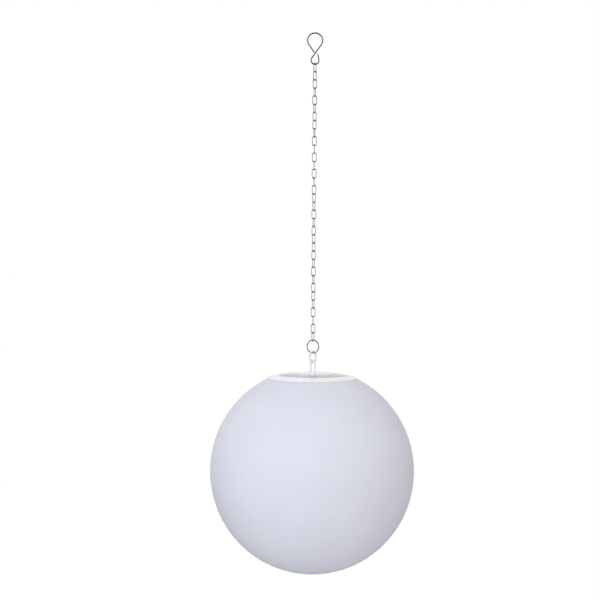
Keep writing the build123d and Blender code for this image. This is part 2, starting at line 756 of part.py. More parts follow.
def led_diffuser():
    """Frosted dome on a flat flange, stuck under the floor."""
    base_z = floor_under_z - DIFFUSER_FLANGE_THICK
    tip_z = floor_under_z - DIFFUSER_DEPTH
    dome = bowl(LED_HOLE_RADIUS, base_z, tip_z) + rod(DIFFUSER_FLANGE, base_z, floor_under_z)
    inner = LED_HOLE_RADIUS - DIFFUSER_WALL
    hollow = bowl(inner, base_z, tip_z + DIFFUSER_WALL) + rod(inner, base_z, floor_under_z + OVERRUN)
    return dome - hollow


def switch_body():
    """Square body under the board, with a well for the plunger."""
    low = board_z - SWITCH_HEIGHT
    body = block(SWITCH_SIZE, SWITCH_SIZE, low, board_z, 0, board_y)
    return body - rod(BUTTON_RADIUS + FIT / 2, low - OVERRUN, board_z - SWITCH_ROOF, 0, board_y)


def switch_button():
    """Plunger and its wider cap, with room for the travel between cap and floor."""
    top = board_z - BUTTON_TRAVEL - PLUNGER_ROOM
    cap_top = floor_under_z - BUTTON_TRAVEL - 2 * FIT
    cap = rod(BUTTON_CAP_RADIUS, cap_top - BUTTON_CAP_HEIGHT, cap_top, 0, board_y)
    cap = fillet(cap.edges().group_by(Axis.Z)[0], BUTTON_ROUND)
    return cap + rod(BUTTON_RADIUS, cap_top - OVERRUN / 2, top, 0, board_y)


# ================= output =================

def save(name, shape, lower=0.0):
    """Writes one node: a solid, or a group of separate solids."""
    shapes = shape if isinstance(shape, list) else [shape]
    solids = [s.moved(Location((0, 0, lower))) for item in shapes for s in item.solids()]
    export_step(solids[0] if len(solids) == 1 else Compound(children=solids), f"parts/{name}.step")


def main():
    os.makedirs("parts", exist_ok=True)
    save("s_hook", hook())
    for number in range(1, LINK_COUNT + 1):
        save(f"chain_link_{number:02d}", chain_link(number))
    save("hanging_ring", hanging_ring())
    save("hanging_link", hanging_link())
    light = {
        "hanging_eye": hanging_eye(),
        "eye_plate": eye_plate(),
        "eye_nuts": eye_nuts(),
        "top_cover": top_cover(),
        "panel_window": panel_window(),
        "solar_panel": solar_panel(),
        "cover_seal": cover_seal(),
        "neck_gasket": neck_gasket(),
        "globe": globe(),
        "lamp_housing": lamp_housing(),
        "cover_screws": cover_screws(),
        "battery_cell": battery_cell(),
        "contact_plate": contact_plate(),
        "contact_spring": contact_spring(),
        "battery_door": battery_door(),
        "door_pin": door_pin(),
        "circuit_board": circuit_board(),
        "inner_wires": inner_wires(),
        "led_board": led_board(),
        "leds": leds(),
        "led_diffuser": led_diffuser(),
        "switch_body": switch_body(),
        "switch_button": switch_button(),
    }
    for name, shape in light.items():
        save(name, shape, globe_z)


main()
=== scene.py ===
import bpy
import math
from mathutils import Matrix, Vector


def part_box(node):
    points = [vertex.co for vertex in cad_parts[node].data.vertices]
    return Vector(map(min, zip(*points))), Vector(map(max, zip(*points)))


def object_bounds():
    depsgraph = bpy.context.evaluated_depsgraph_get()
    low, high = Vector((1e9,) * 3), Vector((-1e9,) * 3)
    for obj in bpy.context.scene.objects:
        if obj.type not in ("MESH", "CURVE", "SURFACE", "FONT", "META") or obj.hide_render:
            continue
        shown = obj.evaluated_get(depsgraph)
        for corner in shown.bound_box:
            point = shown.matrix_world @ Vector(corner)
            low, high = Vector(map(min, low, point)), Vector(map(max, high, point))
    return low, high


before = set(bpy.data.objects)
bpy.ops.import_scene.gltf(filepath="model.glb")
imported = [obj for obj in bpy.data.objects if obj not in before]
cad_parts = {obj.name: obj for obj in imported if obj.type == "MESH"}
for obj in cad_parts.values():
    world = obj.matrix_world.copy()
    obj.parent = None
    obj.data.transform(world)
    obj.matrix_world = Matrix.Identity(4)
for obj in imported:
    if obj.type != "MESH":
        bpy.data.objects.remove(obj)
cad_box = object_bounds()


# ---- figure-eight hook ----
# It is bent cold from 2 mm drawn steel wire and plated with bright nickel. The plating is smooth and
# mirrors the room, with faint die marks and a slightly duller skin in patches where it is rubbed.

def linear(code):
    """An sRGB hex colour as the linear values that a shader takes."""
    channels = [int(code[i : i + 2], 16) / 255 for i in (1, 3, 5)]
    return (*[c / 12.92 if c <= 0.04045 else ((c + 0.055) / 1.055) ** 2.4 for c in channels], 1.0)


def add_node(tree, kind, inputs=(), **settings):
    """Adds a node, gives it its settings, and sets each input or links it to another node's output."""
    node = tree.nodes.new(kind)
    for name, value in settings.items():
        setattr(node, name, value)
    for socket, value in dict(inputs).items():
        if isinstance(value, bpy.types.NodeSocket):
            tree.links.new(value, node.inputs[socket])
        else:
            node.inputs[socket].default_value = value
    return node


def start_material(name):
    """A new material, its empty tree, and the place on the piece, in metres, as patterns need it."""
    material = bpy.data.materials.new(name)
    material.use_nodes = True
    tree = material.node_tree
    tree.nodes.clear()
    return material, tree, add_node(tree, "ShaderNodeTexCoord").outputs["Object"]


def grains_per_metre(size_mm):
    """How often a pattern repeats in a metre, from the size of one grain."""
    return 1000 / size_mm


def dress(material, *names):
    """Gives the material to these pieces."""
    for name in names:
        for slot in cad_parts[name].material_slots:
            slot.material = material


# Where a mix of colours takes its two colours, and where it gives the result.
MIX_A, MIX_B, MIXED = 6, 7, 2

bright_nickel, tree, place = start_material("bright_nickel_on_drawn_wire")
# The real die marks are finer, and would not show.
die_mark_mm = 0.35
rub_mm = 6.0
rub = add_node(
    tree, "ShaderNodeTexNoise", {"Vector": place, "Scale": grains_per_metre(rub_mm), "Detail": 4}
)
die_marks = add_node(
    tree, "ShaderNodeTexNoise", {"Vector": place, "Scale": grains_per_metre(die_mark_mm), "Detail": 3}
)
tone = add_node(
    tree,
    "ShaderNodeMix",
    {0: rub.outputs["Fac"], MIX_A: linear("#8F8C87"), MIX_B: linear("#ABA8A3")},
    data_type="RGBA",
)
gloss = add_node(
    tree,
    "ShaderNodeMapRange",
    {"Value": rub.outputs["Fac"], "From Min": 0.3, "From Max": 0.7, "To Min": 0.24, "To Max": 0.12},
)
ridges = add_node(
    tree, "ShaderNodeBump", {"Height": die_marks.outputs["Fac"], "Strength": 0.1, "Distance": 0.00002}
)
nickel = add_node(
    tree,
    "ShaderNodeBsdfPrincipled",
    {
        "Base Color": tone.outputs[MIXED],
        "Metallic": 1.0,
        "Roughness": gloss.outputs[0],
        "Normal": ridges.outputs["Normal"],
    },
)
add_node(tree, "ShaderNodeOutputMaterial", {"Surface": nickel.outputs[0]})
dress(bright_nickel, "s_hook")


# ---- chain, and the round ring at its foot ----
# Thirty-four oval links of 1.4 mm steel wire, bent and butted by machine, then barrel-plated as a string.
# The ring is 2 mm wire from the same barrel, which leaves a paler, duller skin with tiny knocks.

links = sorted(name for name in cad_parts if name.startswith("chain_link_"))
plated_chain, tree, place = start_material("barrel_plated_chain")
knock_mm = 0.5
stain_mm = 9.0
stain = add_node(
    tree, "ShaderNodeTexNoise", {"Vector": place, "Scale": grains_per_metre(stain_mm), "Detail": 3}
)
knocks = add_node(
    tree,
    "ShaderNodeTexVoronoi",
    {"Vector": place, "Scale": grains_per_metre(knock_mm)},
    feature="SMOOTH_F1",
)
tone = add_node(
    tree,
    "ShaderNodeMix",
    {0: stain.outputs["Fac"], MIX_A: linear("#BFBCB7"), MIX_B: linear("#DCDAD6")},
    data_type="RGBA",
)
gloss = add_node(
    tree,
    "ShaderNodeMapRange",
    {"Value": knocks.outputs["Distance"], "From Max": 0.6, "To Min": 0.42, "To Max": 0.24},
)
dents = add_node(
    tree, "ShaderNodeBump", {"Height": knocks.outputs["Distance"], "Strength": 0.12, "Distance": 0.00003}
)
plate = add_node(
    tree,
    "ShaderNodeBsdfPrincipled",
    {
        "Base Color": tone.outputs[MIXED],
        "Metallic": 1.0,
        "Roughness": gloss.outputs[0],
        "Normal": dents.outputs["Normal"],
    },
)
add_node(tree, "ShaderNodeOutputMaterial", {"Surface": plate.outputs[0]})
dress(plated_chain, *links, "hanging_ring")


# ---- white link and eye ----
# A 3 mm oval link and the U-shaped eye that stands on the cap, both steel wire under a white powder
# coat. The baked powder has a soft orange-peel skin, worn a little greyer where the ring rests in the
# link.

powder_coat, tree, place = start_material("white_powder_coat")
peel_mm = 0.9
peel = add_node(
    tree, "ShaderNodeTexNoise", {"Vector": place, "Scale": grains_per_metre(peel_mm), "Detail": 1}
)
scuff_mm = 2.5
scuff = add_node(
    tree, "ShaderNodeTexNoise", {"Vector": place, "Scale": grains_per_metre(scuff_mm), "Detail": 5}
)
height = add_node(tree, "ShaderNodeSeparateXYZ", {"Vector": place}).outputs["Z"]
ring_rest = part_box("hanging_ring")[0].z
contact_reach = 0.0035
near_ring = add_node(
    tree, "ShaderNodeMath", {0: height, 1: ring_rest, 2: contact_reach}, operation="COMPARE"
)
worn = add_node(
    tree, "ShaderNodeMapRange", {"Value": scuff.outputs["Fac"], "From Min": 0.5, "From Max": 0.68}
)
worn_there = add_node(
    tree, "ShaderNodeMath", {0: near_ring.outputs[0], 1: worn.outputs[0]}, operation="MULTIPLY"
)
tone = add_node(
    tree,
    "ShaderNodeMix",
    {0: worn_there.outputs[0], MIX_A: linear("#F3F3F1"), MIX_B: linear("#C9C7C2")},
    data_type="RGBA",
)
skin = add_node(
    tree, "ShaderNodeBump", {"Height": peel.outputs["Fac"], "Strength": 0.12, "Distance": 0.00005}
)
coat = add_node(
    tree,
    "ShaderNodeBsdfPrincipled",
    {
        "Base Color": tone.outputs[MIXED],
        "Roughness": 0.34,
        "IOR": 1.5,
        "Normal": skin.outputs["Normal"],
    },
)
add_node(tree, "ShaderNodeOutputMaterial", {"Surface": coat.outputs[0]})
dress(powder_coat, "hanging_link", "hanging_eye")


# ---- eye plate, nuts, cover screws and hinge pin ----
# Small stock hardware of mild steel, zinc plated and blue passivated, hidden under the cap and the housing.
# The zinc has a satin spangle with a faint blue and yellow drift across it.

zinc, tree, place = start_material("blue_passivated_zinc")
spangle_mm = 0.7
drift_mm = 5.0
spangle = add_node(
    tree, "ShaderNodeTexVoronoi", {"Vector": place, "Scale": grains_per_metre(spangle_mm)}
)
drift = add_node(
    tree, "ShaderNodeTexNoise", {"Vector": place, "Scale": grains_per_metre(drift_mm), "Detail": 2}
)
tone = add_node(
    tree,
    "ShaderNodeMix",
    {0: drift.outputs["Fac"], MIX_A: linear("#A9B2BC"), MIX_B: linear("#BDB9A6")},
    data_type="RGBA",
)
gloss = add_node(
    tree, "ShaderNodeMapRange", {"Value": spangle.outputs["Distance"], "To Min": 0.28, "To Max": 0.46}
)
plating = add_node(
    tree,
    "ShaderNodeBsdfPrincipled",
    {"Base Color": tone.outputs[MIXED], "Metallic": 1.0, "Roughness": gloss.outputs[0]},
)
add_node(tree, "ShaderNodeOutputMaterial", {"Surface": plating.outputs[0]})
dress(zinc, "eye_plate", "eye_nuts", "cover_screws", "door_pin")


# ---- cap ----
# The domed cap is injection moulded in white weatherproof ABS, with a satin finish from a spark-eroded
# tool and faint flow clouds. It carries the ring window in a recess and a raised boss for the eye.

satin_abs, tree, place = start_material("satin_white_abs")
# The real spark texture is finer, and would not show.
spark_mm = 0.4
flow_mm = 30.0
spark = add_node(
    tree, "ShaderNodeTexNoise", {"Vector": place, "Scale": grains_per_metre(spark_mm), "Detail": 2}
)
flow = add_node(
    tree, "ShaderNodeTexNoise", {"Vector": place, "Scale": grains_per_metre(flow_mm), "Detail": 3}
)
tone = add_node(
    tree,
    "ShaderNodeMix",
    {0: flow.outputs["Fac"], MIX_A: linear("#F6F6F5"), MIX_B: linear("#FCFCFA")},
    data_type="RGBA",
)
gloss = add_node(
    tree,
    "ShaderNodeMapRange",
    {"Value": flow.outputs["Fac"], "From Min": 0.3, "From Max": 0.7, "To Min": 0.22, "To Max": 0.3},
)
grain = add_node(
    tree, "ShaderNodeBump", {"Height": spark.outputs["Fac"], "Strength": 0.12, "Distance": 0.00004}
)
abs_skin = add_node(
    tree,
    "ShaderNodeBsdfPrincipled",
    {
        "Base Color": tone.outputs[MIXED],
        "Roughness": gloss.outputs[0],
        "IOR": 1.54,
        "Normal": grain.outputs["Normal"],
    },
)
add_node(tree, "ShaderNodeOutputMaterial", {"Surface": abs_skin.outputs[0]})
dress(satin_abs, "top_cover")


# ---- window over the panel ----
# A ring of clear acrylic, moulded and bonded flush with the dome. It left the mould polished, and
# weather and wiping have dulled it in long hair-fine marks.

clear_acrylic, tree, place = start_material("clear_acrylic")
wipe_mm = 1.2
wipe_stretch = 0.12
stretch_wipes = add_node(tree, "ShaderNodeMapping", {"Vector": place, "Scale": (1.0, wipe_stretch, 1.0)})
wipes = add_node(
    tree,
    "ShaderNodeTexNoise",
    {"Vector": stretch_wipes.outputs[0], "Scale": grains_per_metre(wipe_mm), "Detail": 4},
)
gloss = add_node(
    tree,
    "ShaderNodeMapRange",
    {"Value": wipes.outputs["Fac"], "From Min": 0.5, "From Max": 0.75, "To Min": 0.08, "To Max": 0.2},
)
window = add_node(
    tree,
    "ShaderNodeBsdfPrincipled",
    {
        "Base Color": linear("#F7FAFD"),
        "Roughness": gloss.outputs[0],
        "IOR": 1.49,
        "Transmission Weight": 1.0,
    },
)
add_node(tree, "ShaderNodeOutputMaterial", {"Surface": window.outputs[0]})
dress(clear_acrylic, "panel_window")


# ---- solar panel ----
# A ring of white laminate with eight dark silicon cells on it under clear resin. Each cell has fine
# silver fingers round the ring and one bus bar across them, and reads blue-black to violet.

panel_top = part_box("solar_panel")[1].z
cell_thick = 0.0004
cell_count = 8
silicon, tree, place = start_material("resin_coated_silicon")
axes = add_node(tree, "ShaderNodeSeparateXYZ", {"Vector": place})
flat_place = add_node(tree, "ShaderNodeCombineXYZ", {"X": axes.outputs["X"], "Y": axes.outputs["Y"]})
reach = add_node(tree, "ShaderNodeVectorMath", {0: flat_place.outputs[0]}, operation="LENGTH")
finger_pitch = 0.0024
finger_width = 0.00035
finger_phase = add_node(
    tree, "ShaderNodeMath", {0: reach.outputs["Value"], 1: finger_pitch}, operation="FLOORED_MODULO"
)
finger = add_node(
    tree, "ShaderNodeMath", {0: finger_phase.outputs[0], 1: finger_width}, operation="LESS_THAN"
)
heading = add_node(
    tree, "ShaderNodeMath", {0: axes.outputs["Y"], 1: axes.outputs["X"]}, operation="ARCTAN2"
)
sector = 2 * math.pi / cell_count
in_sector = add_node(
    tree, "ShaderNodeMath", {0: heading.outputs[0], 1: sector}, operation="FLOORED_MODULO"
)
off_middle = add_node(
    tree, "ShaderNodeMath", {0: in_sector.outputs[0], 1: sector / 2}, operation="PINGPONG"
)
across_bar = add_node(
    tree, "ShaderNodeMath", {0: off_middle.outputs[0], 1: reach.outputs["Value"]}, operation="MULTIPLY"
)
bar_half_width = 0.0006
bar = add_node(
    tree, "ShaderNodeMath", {0: across_bar.outputs[0], 1: bar_half_width}, operation="LESS_THAN"
)
silver = add_node(tree, "ShaderNodeMath", {0: finger.outputs[0], 1: bar.outputs[0]}, operation="MAXIMUM")
on_cell = add_node(
    tree,
    "ShaderNodeMath",
    {0: axes.outputs["Z"], 1: panel_top - cell_thick / 2},
    operation="GREATER_THAN",
)
crystal_mm = 4.0
crystals = add_node(
    tree, "ShaderNodeTexVoronoi", {"Vector": place, "Scale": grains_per_metre(crystal_mm)}
)
shade = add_node(
    tree,
    "ShaderNodeMix",
    {0: crystals.outputs["Color"], MIX_A: linear("#0B0F26"), MIX_B: linear("#171D3F")},
    data_type="RGBA",
)
lined = add_node(
    tree,
    "ShaderNodeMix",
    {0: silver.outputs[0], MIX_A: shade.outputs[MIXED], MIX_B: linear("#9AA0A6")},
    data_type="RGBA",
)
tone = add_node(
    tree,
    "ShaderNodeMix",
    {0: on_cell.outputs[0], MIX_A: linear("#D0D3D6"), MIX_B: lined.outputs[MIXED]},
    data_type="RGBA",
)
cells = add_node(
    tree,
    "ShaderNodeBsdfPrincipled",
    {
        "Base Color": tone.outputs[MIXED],
        "Roughness": 0.45,
        "IOR": 1.5,
        "Coat Weight": 0.25,
        "Coat Roughness": 0.2,
    },
)
add_node(tree, "ShaderNodeOutputMaterial", {"Surface": cells.outputs[0]})
dress(silicon, "solar_panel")


# ---- seal and gasket ----
# Two flat rings of black EPDM rubber, die cut from sheet: one between cap and housing, one under the
# flange on the globe's shoulder. The sheet is dull, with a fine talc bloom.

epdm, tree, place = start_material("die_cut_epdm")
bloom_mm = 3.0
bloom = add_node(
    tree, "ShaderNodeTexNoise", {"Vector": place, "Scale": grains_per_metre(bloom_mm), "Detail": 5}
)
tone = add_node(
    tree,
    "ShaderNodeMix",
    {0: bloom.outputs["Fac"], MIX_A: linear("#1F1F20"), MIX_B: linear("#3A3A3B")},
    data_type="RGBA",
)
rubber = add_node(
    tree, "ShaderNodeBsdfPrincipled", {"Base Color": tone.outputs[MIXED], "Roughness": 0.78, "IOR": 1.5}
)
add_node(tree, "ShaderNodeOutputMaterial", {"Surface": rubber.outputs[0]})
dress(epdm, "cover_seal", "neck_gasket")


# ---- globe ----
# A 300 mm sphere blow-moulded in opal polyethylene, two millimetres thick, off-white with a cool cast.
# Light soaks into the wall and comes back soft; the skin is matt, with the tool's fine blast texture, a
# broad slow mottle where the wall varies, and a parting line round it from side to side.

globe_low, globe_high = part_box("globe")
opal, tree, place = start_material("opal_polyethylene")
# The real blast texture is finer, and would not show.
blast_mm = 0.6
mottle_mm = 55.0
blast = add_node(
    tree, "ShaderNodeTexNoise", {"Vector": place, "Scale": grains_per_metre(blast_mm), "Detail": 2}
)
mottle = add_node(
    tree, "ShaderNodeTexNoise", {"Vector": place, "Scale": grains_per_metre(mottle_mm), "Detail": 3}
)
tone = add_node(
    tree,
    "ShaderNodeMix",
    {0: mottle.outputs["Fac"], MIX_A: linear("#DFE1EB"), MIX_B: linear("#E9EBF3")},
    data_type="RGBA",
)
from_line = add_node(
    tree,
    "ShaderNodeMath",
    {0: add_node(tree, "ShaderNodeSeparateXYZ", {"Vector": place}).outputs["Y"]},
    operation="ABSOLUTE",
)
line_half_width = 0.0005
line = add_node(
    tree,
    "ShaderNodeMapRange",
    {"Value": from_line.outputs[0], "From Max": line_half_width, "To Min": 1.0, "To Max": 0.0},
)
raised = add_node(
    tree, "ShaderNodeBump", {"Height": line.outputs[0], "Strength": 1.0, "Distance": 0.00015}
)
matt = add_node(
    tree,
    "ShaderNodeBump",
    {
        "Height": blast.outputs["Fac"],
        "Strength": 0.15,
        "Distance": 0.00005,
        "Normal": raised.outputs["Normal"],
    },
)
wall = add_node(
    tree,
    "ShaderNodeBsdfPrincipled",
    {
        "Base Color": tone.outputs[MIXED],
        "Roughness": 0.6,
        "IOR": 1.5,
        "Specular IOR Level": 0.35,
        "Subsurface Weight": 0.3,
        "Subsurface Radius": (1.0, 0.9, 0.85),
        "Subsurface Scale": 0.004,
        "Normal": matt.outputs["Normal"],
    },
)
add_node(tree, "ShaderNodeOutputMaterial", {"Surface": wall.outputs[0]})
dress(opal, "globe")


# ---- housing and battery door ----
# A cup and a door injection moulded in white polypropylene, hidden in the globe's neck. The surface is
# duller than the cap's, with a coarser spark texture and faint flow clouds.

polypropylene, tree, place = start_material("moulded_polypropylene")
# Drawn coarser than the real texture, so that it shows.
texture_mm = 0.6
cloud_mm = 18.0
texture = add_node(
    tree, "ShaderNodeTexNoise", {"Vector": place, "Scale": grains_per_metre(texture_mm), "Detail": 2}
)
clouds = add_node(
    tree, "ShaderNodeTexNoise", {"Vector": place, "Scale": grains_per_metre(cloud_mm), "Detail": 2}
)
tone = add_node(
    tree,
    "ShaderNodeMix",
    {0: clouds.outputs["Fac"], MIX_A: linear("#E6E6E3"), MIX_B: linear("#EFEFEC")},
    data_type="RGBA",
)
grain = add_node(
    tree, "ShaderNodeBump", {"Height": texture.outputs["Fac"], "Strength": 0.2, "Distance": 0.00005}
)
moulding = add_node(
    tree,
    "ShaderNodeBsdfPrincipled",
    {
        "Base Color": tone.outputs[MIXED],
        "Roughness": 0.5,
        "IOR": 1.49,
        "Normal": grain.outputs["Normal"],
    },
)
add_node(tree, "ShaderNodeOutputMaterial", {"Surface": moulding.outputs[0]})
dress(polypropylene, "lamp_housing", "battery_door")


# ---- battery cell ----
# One AA rechargeable cell: a nickel-plated can in a plain green shrink sleeve with a darker band at the
# positive end. The sleeve is glossy PVC with faint shrink ripples round it.

cell_low, cell_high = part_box("battery_cell")
shrink_sleeve, tree, place = start_material("green_shrink_sleeve")
along = add_node(tree, "ShaderNodeSeparateXYZ", {"Vector": place}).outputs["X"]
end_margin = 0.0008
nub_length = 0.0013
band_length = 0.008
sleeve_start, sleeve_end = cell_low.x + end_margin, cell_high.x - nub_length - end_margin
middle, half = (sleeve_start + sleeve_end) / 2, (sleeve_end - sleeve_start) / 2
sleeved = add_node(tree, "ShaderNodeMath", {0: along, 1: middle, 2: half}, operation="COMPARE")
banded = add_node(
    tree, "ShaderNodeMath", {0: along, 1: sleeve_end - band_length}, operation="GREATER_THAN"
)
print_tone = add_node(
    tree,
    "ShaderNodeMix",
    {0: banded.outputs[0], MIX_A: linear("#2F7D4F"), MIX_B: linear("#1E2A26")},
    data_type="RGBA",
)
tone = add_node(
    tree,
    "ShaderNodeMix",
    {0: sleeved.outputs[0], MIX_A: linear("#C2C0BA"), MIX_B: print_tone.outputs[MIXED]},
    data_type="RGBA",
)
bare = add_node(tree, "ShaderNodeMath", {0: 1.0, 1: sleeved.outputs[0]}, operation="SUBTRACT")
ripple_mm = 2.0
ripples = add_node(
    tree, "ShaderNodeTexNoise", {"Vector": place, "Scale": grains_per_metre(ripple_mm), "Detail": 1}
)
shrink = add_node(
    tree, "ShaderNodeBump", {"Height": ripples.outputs["Fac"], "Strength": 0.2, "Distance": 0.00004}
)
sleeve = add_node(
    tree,
    "ShaderNodeBsdfPrincipled",
    {
        "Base Color": tone.outputs[MIXED],
        "Metallic": bare.outputs[0],
        "Roughness": 0.26,
        "Normal": shrink.outputs["Normal"],
    },
)
add_node(tree, "ShaderNodeOutputMaterial", {"Surface": sleeve.outputs[0]})
dress(shrink_sleeve, "battery_cell")


# ---- battery contacts ----
# A plain contact and a leaf spring, both stamped from 0.4 mm nickel-plated spring steel strip.
# The strip keeps the fine straight lines of its rolling.

rolled_strip, tree, place = start_material("nickel_plated_strip")
roll_line_mm = 0.25
roll_stretch = 0.05
stretch_lines = add_node(tree, "ShaderNodeMapping", {"Vector": place, "Scale": (1.0, 1.0, roll_stretch)})
roll_lines = add_node(
    tree,
    "ShaderNodeTexNoise",
    {"Vector": stretch_lines.outputs[0], "Scale": grains_per_metre(roll_line_mm), "Detail": 3},
)
gloss = add_node(
    tree, "ShaderNodeMapRange", {"Value": roll_lines.outputs["Fac"], "To Min": 0.16, "To Max": 0.4}
)
rolled = add_node(
    tree, "ShaderNodeBump", {"Height": roll_lines.outputs["Fac"], "Strength": 0.2, "Distance": 0.00001}
)
strip = add_node(
    tree,
    "ShaderNodeBsdfPrincipled",
    {
        "Base Color": linear("#C8C4BA"),
        "Metallic": 1.0,
        "Roughness": gloss.outputs[0],
        "Normal": rolled.outputs["Normal"],
    },
)
add_node(tree, "ShaderNodeOutputMaterial", {"Surface": strip.outputs[0]})
dress(rolled_strip, "contact_plate", "contact_spring")


# ---- circuit board ----
# A glass-epoxy board under green lacquer, with copper tracks showing through it and black moulded parts
# soldered on top. The lacquer is glossy and pools slightly over the tracks.

board_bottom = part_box("circuit_board")[0].z
lacquer, tree, place = start_material("green_lacquered_board")
board_thick = 0.0016
lacquer_margin = 0.0001
height = add_node(tree, "ShaderNodeSeparateXYZ", {"Vector": place}).outputs["Z"]
on_top = add_node(
    tree,
    "ShaderNodeMath",
    {0: height, 1: board_bottom + board_thick + lacquer_margin},
    operation="GREATER_THAN",
)
track_mm = 2.54
tracks = add_node(
    tree,
    "ShaderNodeTexBrick",
    {
        "Vector": place,
        "Color1": linear("#1F7A45"),
        "Color2": linear("#1B6C3D"),
        "Mortar": linear("#0F4A2A"),
        "Scale": grains_per_metre(track_mm),
        "Mortar Size": 0.12,
        "Brick Width": 3.0,
        "Row Height": 0.5,
    },
)
tone = add_node(
    tree,
    "ShaderNodeMix",
    {0: on_top.outputs[0], MIX_A: tracks.outputs["Color"], MIX_B: linear("#1C1C1D")},
    data_type="RGBA",
)
pooled = add_node(
    tree, "ShaderNodeBump", {"Height": tracks.outputs["Fac"], "Strength": 0.3, "Distance": 0.00003}
)
board = add_node(
    tree,
    "ShaderNodeBsdfPrincipled",
    {"Base Color": tone.outputs[MIXED], "Roughness": 0.32, "IOR": 1.55, "Normal": pooled.outputs["Normal"]},
)
add_node(tree, "ShaderNodeOutputMaterial", {"Surface": board.outputs[0]})
dress(lacquer, "circuit_board")


# ---- leads ----
# Thin stranded leads in soft PVC, a red and a black one to each of panel, cell and lamp board.
# Extruded PVC is smooth with a low sheen, and slightly wavy from the strands inside.

pvc, tree, place = start_material("extruded_pvc_lead")
across = add_node(tree, "ShaderNodeSeparateXYZ", {"Vector": place}).outputs["X"]
left = add_node(tree, "ShaderNodeMath", {0: across, 1: 0.0}, operation="LESS_THAN")
panel_lead_x = 0.0138
lead_radius = 0.0007
panel_black = add_node(
    tree, "ShaderNodeMath", {0: across, 1: panel_lead_x, 2: lead_radius}, operation="COMPARE"
)
black = add_node(
    tree, "ShaderNodeMath", {0: left.outputs[0], 1: panel_black.outputs[0]}, operation="MAXIMUM"
)
tone = add_node(
    tree,
    "ShaderNodeMix",
    {0: black.outputs[0], MIX_A: linear("#A8201A"), MIX_B: linear("#1B1B1C")},
    data_type="RGBA",
)
strand_mm = 1.0
strands = add_node(
    tree, "ShaderNodeTexNoise", {"Vector": place, "Scale": grains_per_metre(strand_mm), "Detail": 0}
)
wavy = add_node(
    tree, "ShaderNodeBump", {"Height": strands.outputs["Fac"], "Strength": 0.2, "Distance": 0.00005}
)
insulation = add_node(
    tree,
    "ShaderNodeBsdfPrincipled",
    {"Base Color": tone.outputs[MIXED], "Roughness": 0.42, "Normal": wavy.outputs["Normal"]},
)
add_node(tree, "ShaderNodeOutputMaterial", {"Surface": insulation.outputs[0]})
dress(pvc, "inner_wires")


# ---- lamp board and LEDs ----
# A disc of aluminium under white lacquer carries four square LEDs, each a white ceramic package with a
# round well of yellow phosphor in silicone.

white_lacquer, tree, place = start_material("white_lacquered_aluminium")
lacquer_mm = 1.5
level = add_node(
    tree, "ShaderNodeTexNoise", {"Vector": place, "Scale": grains_per_metre(lacquer_mm), "Detail": 1}
)
flow_skin = add_node(
    tree, "ShaderNodeBump", {"Height": level.outputs["Fac"], "Strength": 0.1, "Distance": 0.00003}
)
disc = add_node(
    tree,
    "ShaderNodeBsdfPrincipled",
    {"Base Color": linear("#F1F1ED"), "Roughness": 0.35, "Normal": flow_skin.outputs["Normal"]},
)
add_node(tree, "ShaderNodeOutputMaterial", {"Surface": disc.outputs[0]})
dress(white_lacquer, "led_board")

led_side = 0.005
led_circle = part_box("leds")[1].x - led_side / 2
phosphor_radius = 0.0017
phosphor, tree, place = start_material("ceramic_and_phosphor")
folded = add_node(tree, "ShaderNodeVectorMath", {0: place}, operation="ABSOLUTE")
wells = []
for centre in ((led_circle, 0.0, 0.0), (0.0, led_circle, 0.0)):
    offset = add_node(
        tree, "ShaderNodeVectorMath", {0: folded.outputs[0], 1: centre}, operation="SUBTRACT"
    )
    flat = add_node(
        tree, "ShaderNodeVectorMath", {0: offset.outputs[0], 1: (1.0, 1.0, 0.0)}, operation="MULTIPLY"
    )
    wells.append(add_node(tree, "ShaderNodeVectorMath", {0: flat.outputs[0]}, operation="LENGTH"))
nearest = add_node(
    tree,
    "ShaderNodeMath",
    {0: wells[0].outputs["Value"], 1: wells[1].outputs["Value"]},
    operation="MINIMUM",
)
in_well = add_node(
    tree, "ShaderNodeMath", {0: nearest.outputs[0], 1: phosphor_radius}, operation="LESS_THAN"
)
tone = add_node(
    tree,
    "ShaderNodeMix",
    {0: in_well.outputs[0], MIX_A: linear("#F2F0E8"), MIX_B: linear("#E3C24A")},
    data_type="RGBA",
)
package = add_node(
    tree, "ShaderNodeBsdfPrincipled", {"Base Color": tone.outputs[MIXED], "Roughness": 0.3}
)
add_node(tree, "ShaderNodeOutputMaterial", {"Surface": package.outputs[0]})
dress(phosphor, "leds")


# ---- diffuser ----
# A small dome moulded in frosted acrylic over the LEDs. It is milky and lets light through softly.

frosted, tree, place = start_material("frosted_acrylic")
# Drawn coarser than real frosting, so that it shows.
frost_mm = 0.3
frost = add_node(
    tree, "ShaderNodeTexNoise", {"Vector": place, "Scale": grains_per_metre(frost_mm), "Detail": 2}
)
rough = add_node(
    tree, "ShaderNodeBump", {"Height": frost.outputs["Fac"], "Strength": 0.25, "Distance": 0.00004}
)
dome = add_node(
    tree,
    "ShaderNodeBsdfPrincipled",
    {
        "Base Color": linear("#F3F4F3"),
        "Roughness": 0.5,
        "IOR": 1.49,
        "Subsurface Weight": 0.5,
        "Subsurface Scale": 0.002,
        "Normal": rough.outputs["Normal"],
    },
)
add_node(tree, "ShaderNodeOutputMaterial", {"Surface": dome.outputs[0]})
dress(frosted, "led_diffuser")


# ---- switch ----
# A push switch under the board with its own button, both moulded in black nylon. The button's face is
# worn a touch smoother than the body.

